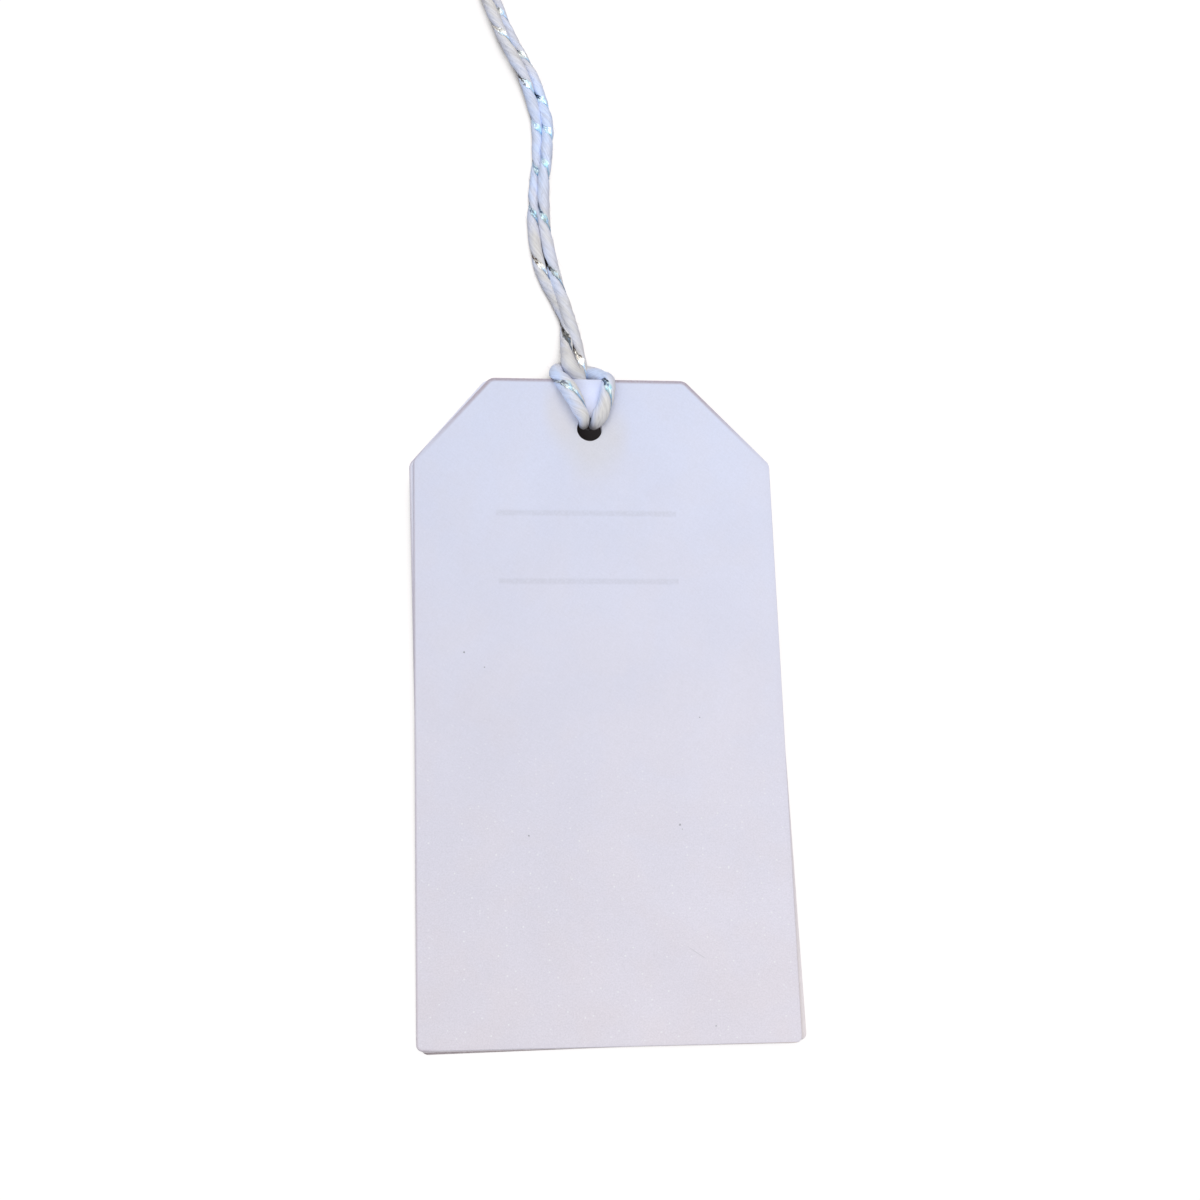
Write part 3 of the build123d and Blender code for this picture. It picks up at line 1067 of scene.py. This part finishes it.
def yarn_finish():
    """Soft white filament yarn: fine streaks along its twisted fibres, bluer at random, with painted
    blue light in some stretches and on its left flank, and painted shade where it goes through the
    hole.
    """
    shader = Shader("yarn_finish")
    fibre = shader.attribute("fibre")
    fine = shader.noise(shader.stretched(fibre, FINE_STREAK), *FIBRE_NOISE)
    coarse = shader.noise(shader.stretched(fibre, COARSE_STREAK), *COARSE_NOISE)
    drift = shader.noise(shader.stretched(fibre, DRIFT_SIZE), *DRIFT_NOISE)
    # The tint attribute carries painted blue light, and painted shade where the cord goes through the
    # hole
    tint = shader.axes(shader.attribute("tint"))
    drifting = shader.span(drift, *NOISE_MIDDLE, 0.0, DRIFT_BLUE)
    blue = shader.math("ADD", shader.times(tint[0], TINT_BLUE), drifting)
    colour = shader.ramp(blue, YARN_TONES)
    colour = shader.shade(colour, coarse, COARSE_SHADE)
    colour = shader.shade(colour, fine, FINE_SHADE)
    # Painted shade where the cord goes through the hole
    colour = shader.mix(shader.times(tint[1], HOLE_SHADE_STRENGTH), colour, HOLE_SHADE_TONE)
    height = shader.math("ADD", fine, coarse)
    shader.set(Base_Color=colour, Roughness=shader.span(fine, *NOISE_MIDDLE, *YARN_ROUGHNESS))
    shader.set(Normal=shader.bump(height, *YARN_RELIEF), Specular_IOR_Level=YARN_SPECULAR)
    shader.set(Sheen_Weight=YARN_SHEEN, Sheen_Roughness=YARN_SHEEN_ROUGHNESS)
    return shader.material


def tinsel_finish():
    """Iridescent film with painted reflections: dark to the left, white, cyan or cream on top, pale
    blue to the right.
    """
    shader = Shader("tinsel_finish")
    strip = shader.attribute("strip")
    sockets = {"Vector": shader.stretched(strip, TINSEL_FACET), "Scale": 1.0}
    cells = shader.add("TexVoronoi", sockets)
    chance = shader.add("SeparateColor", {0: cells.outputs["Color"]}).outputs[0]
    # Painted reflection: the tinsel's tone follows the way it faces, dark to the left and pale to the
    # right
    facing = shader.span(shader.axes(strip)[2], -1.0, 1.0, *TINSEL_SIDES, kind="LINEAR")
    varied = shader.span(chance, 0.0, 1.0, -TINSEL_CHANCE, TINSEL_CHANCE, kind="LINEAR")
    gleam = shader.axes(shader.attribute("gleam"))
    least = shader.span(gleam[2], 0.0, 1.0, TINSEL_PALEST, 0.0, kind="LINEAR")
    tone = shader.math("MAXIMUM", shader.math("ADD", facing, varied), least)
    colour = shader.mix(gleam[0], shader.ramp(tone, TINSEL_TONES), shader.ramp(tone, CREAM_TONES))
    uneven = shader.span(chance, *TINSEL_UNEVEN)
    spare = shader.math("MINIMUM", shader.math("SUBTRACT", 1.0, gleam[1]), gleam[1])
    light = shader.math("ADD", gleam[1], shader.times(uneven, spare))
    shader.set(Base_Color=shader.dim(colour, light))
    shader.set(Roughness=shader.span(chance, 0.0, 1.0, *TINSEL_ROUGHNESS))
    shader.set(Metallic=shader.span(tone, *TINSEL_METAL))
    return shader.material


def rolled_sheet(name, node):
    """A sheet of the tag with its die-cut edges rolled over and a band along them for painted shade and
    wear.
    """
    shape = bmesh.new()
    shape.from_mesh(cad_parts[node].data)
    bmesh.ops.remove_doubles(shape, verts=shape.verts, dist=MERGE_M)
    sharp = [edge for edge in shape.edges if edge.calc_face_angle(0.0) > SHARP_EDGE_RAD]
    roll = {"offset": EDGE_ROLL * MM, "segments": ROLL_SEGMENTS, "profile": 0.5}
    bmesh.ops.bevel(shape, geom=sharp, affect="EDGES", **roll)
    inner = set()
    for side in (1, -1):
        flat = [face for face in shape.faces if face.normal.z * side > FLAT_FACING]
        bmesh.ops.inset_region(shape, faces=flat, thickness=RIM_BAND * MM, use_even_offset=True)
        inner.update(vertex for face in flat for vertex in face.verts)
    shape.verts.index_update()
    kept = {vertex.index for vertex in inner}
    mesh = bpy.data.meshes.new(name)
    shape.to_mesh(mesh)
    shape.free()
    rim = mesh.attributes.new("rim", "FLOAT", "POINT")
    rim.data.foreach_set("value", [0.0 if i in kept else 1.0 for i in range(len(mesh.vertices))])
    mesh.polygons.foreach_set("use_smooth", [True] * len(mesh.polygons))
    set_out_of_square(mesh)
    return link(name, mesh)


def set_out_of_square(mesh):
    """Shifts a sheet's shoulders and foot by as little as the photographed tag is out of square."""
    low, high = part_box("front_card")
    half, foot, top = high[0] / MM, low[1] / MM, high[1] / MM
    for vertex in mesh.vertices:
        across, along = vertex.co.x / MM, vertex.co.y / MM
        rise = np.clip((along - foot) / (SHOULDER_LEVEL - foot), 0, 1)
        fall = np.clip((top - along) / (top - SHOULDER_LEVEL), 0, 1)
        if abs(across) > SIDE_FROM:
            vertex.co.x += SHOULDER_SHIFT * min(rise, fall) * MM
            vertex.co.y -= FOOT_DROP * max(across, 0) / half * (1 - rise) * MM


def build_card():
    """The two sheets, and the film between them."""
    for name, node, finish in (
        ("front_sheet", "front_card", front_paper()),
        ("backing_sheet", "backing_card", backing_paper()),
    ):
        piece = rolled_sheet(name, node)
        piece.data.materials.append(finish)
        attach(piece, "tag")
        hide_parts(node)
    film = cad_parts["adhesive_film"]
    film.data.materials.clear()
    film.data.materials.append(adhesive_finish())


def bend(piece):
    """Bakes a piece's placement into its mesh."""
    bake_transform(piece)


def swing(piece):
    """Lets a piece turn with the free cord."""
    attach(piece, "cord_loop")


def dress_cord():
    """Yarn, tinsel and stray fibres for each stretch of the cord, in place of the part that each
    stretch stands for.
    """
    tail = len(TAIL)
    knot = len(knot_route(1))
    strand = len(LEFT_STRAND)
    far = len(cord.controls) - 1
    hinges = cord.controls[[knot + strand - 1, far - knot - strand + 1]]
    entries = cord.controls[[knot - 2, far - knot + 2]]
    tails = cord.controls[[tail, far - tail]]
    stretches = {
        "tail_left": ([(0.0, tails[0])], swing, "cord_tail_left"),
        "tail_right": ([(tails[1], cord.length)], swing, "cord_tail_right"),
        "knot": ([(tails[0], entries[0]), (entries[1], tails[1])], swing, "end_knot"),
        "strand_left": ([(entries[0], hinges[0])], bend, "cord_strand_left"),
        "strand_right": ([(hinges[1], entries[1])], bend, "cord_strand_right"),
        "hitch": ([(hinges[0], hinges[1])], bend, "cord_hitch"),
    }
    yarn_look, tinsel_look = yarn_finish(), tinsel_finish()
    for seed, (name, (runs, follow, node)) in enumerate(stretches.items()):
        core = yarn(name + "_yarn", cord, runs)
        strip = tinsel(name + "_tinsel", cord, runs, seed)
        loose = fuzz(name + "_fuzz", cord, runs, seed)
        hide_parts(node)
        for piece, look in ((core, yarn_look), (strip, tinsel_look), (loose, yarn_look)):
            piece.data.materials.append(look)
            follow(piece)
    shared = {"strand_left": ("tail_left", "knot"), "strand_right": ("tail_right", "hitch")}
    for name, others in shared.items():
        start, stop = stretches[name][0][0]
        stations = np.linspace(start, stop, round((stop - start) / RING_STEP) + 1)
        cord.rows(cord.line, stations) * MM


def add_floor():
    """Floor that shows white where it lies open, with painted shade where the tag covers it, and keeps
    the tag's shadow.
    """
    shape = bmesh.new()
    bmesh.ops.create_grid(shape, x_segments=1, y_segments=1, size=FLOOR_HALF * MM)
    mesh = bpy.data.meshes.new("floor")
    shape.to_mesh(mesh)
    shape.free()
    floor = link("floor", mesh)
    shader = Shader("floor_finish")
    shader.set(Base_Color=(*FLOOR_COLOUR, 1.0), Roughness=FLOOR_ROUGHNESS, Specular_IOR_Level=0.0)
    # Painted shade: the glow fades where the tag covers the floor
    sky = shader.add("AmbientOcclusion", {"Distance": FLOOR_COVER_REACH * MM}).outputs["AO"]
    glow = shader.times(shader.span(sky, *FLOOR_OPEN), FLOOR_GLOW)
    shader.set(Emission_Strength=shader.times(shader.seen(), glow))
    shader.set(Emission_Color=(1.0, 1.0, 1.0, 1.0))
    floor.data.materials.append(shader.material)


def add_lamp(name, place, size, watts, colour):
    """A square soft lamp that faces the tag's middle."""
    data = bpy.data.lights.new(name, "AREA")
    data.size = size * MM
    data.energy = watts
    data.color = colour
    lamp = link(name, data)
    lamp.location = metres(*place)
    aim = metres(*LAMP_TARGET) - lamp.location
    lamp.rotation_euler = aim.to_track_quat("-Z", "Y").to_euler()


def add_light():
    """Plain soft studio light: a key from beyond the cord, a fill from the near left and a sky."""
    for lamp in LAMPS:
        add_lamp(*lamp)
    sky = Shader("studio", bpy.data.worlds, "Background")
    sky.set(Color=(*SKY_COLOUR, 1.0), Strength=sky.span(sky.seen(), 0.0, 1.0, SKY_STRENGTH, 1.0))
    bpy.context.scene.world = sky.material
    bpy.context.scene.view_settings.view_transform = "Standard"


cord = build_cord()
build_card()
dress_cord()
add_floor()
add_light()
add_camera()
